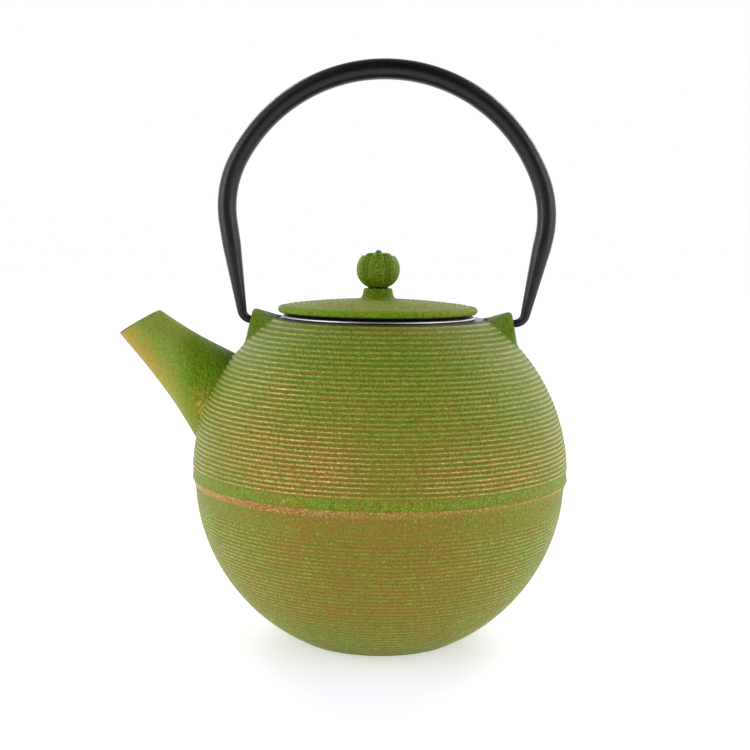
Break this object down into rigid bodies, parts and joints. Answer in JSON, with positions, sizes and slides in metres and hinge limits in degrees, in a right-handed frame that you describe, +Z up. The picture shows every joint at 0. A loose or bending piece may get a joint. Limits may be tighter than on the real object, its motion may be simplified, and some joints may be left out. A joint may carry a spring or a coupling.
{
  "type": "cast iron teapot",
  "caption": "Round ribbed cast iron teapot with a straight spout, an arched swing handle, a lift-off lid with a lobed knob, and a lift-out tea infuser.",
  "frame": {"origin": "centre of the flat base, on the surface that the pot stands on", "axes": "+Z up along the pot's axis, -X towards the spout, and the handle swings about an axis parallel to X"},
  "size_m": [0.1753, 0.1466, 0.2235],
  "materials": {
    "rubbed_green": "satin green paint rubbed back to copper on the ribs, black enamel inside",
    "plain_green": "satin green paint",
    "black_satin": "satin black paint with a fine grain",
    "stainless": "pressed stainless steel",
    "stainless_mesh": "fine woven stainless mesh"
  },
  "bodies": {
    "pot": {"pot_body": "rubbed_green"},
    "handle": {"bail_handle": "black_satin"},
    "infuser": {"infuser_rim": "stainless", "infuser_sleeve": "stainless_mesh", "infuser_base_mesh": "stainless_mesh", "infuser_base_ring": "stainless"},
    "lid": {"lid": "rubbed_green", "lid_knob": "plain_green", "knob_petal_washer": "plain_green", "knob_rivet": "plain_green", "lid_inner_washer": "stainless"}
  },
  "joints": [
    {"name": "handle_swing", "type": "hinge", "parent": "pot", "child": "handle", "pos_m": [0, 0, 0.1231], "axis": [1, 0, 0], "range_deg": [-123, 123]},
    {"name": "infuser_lift", "type": "slide", "parent": "pot", "child": "infuser", "axis": [0, 0, 1], "range_m": [0, 0.058]},
    {"name": "lid_lift", "type": "slide", "parent": "infuser", "child": "lid", "axis": [0, 0, 1], "range_m": [0, 0.058]}
  ]
}
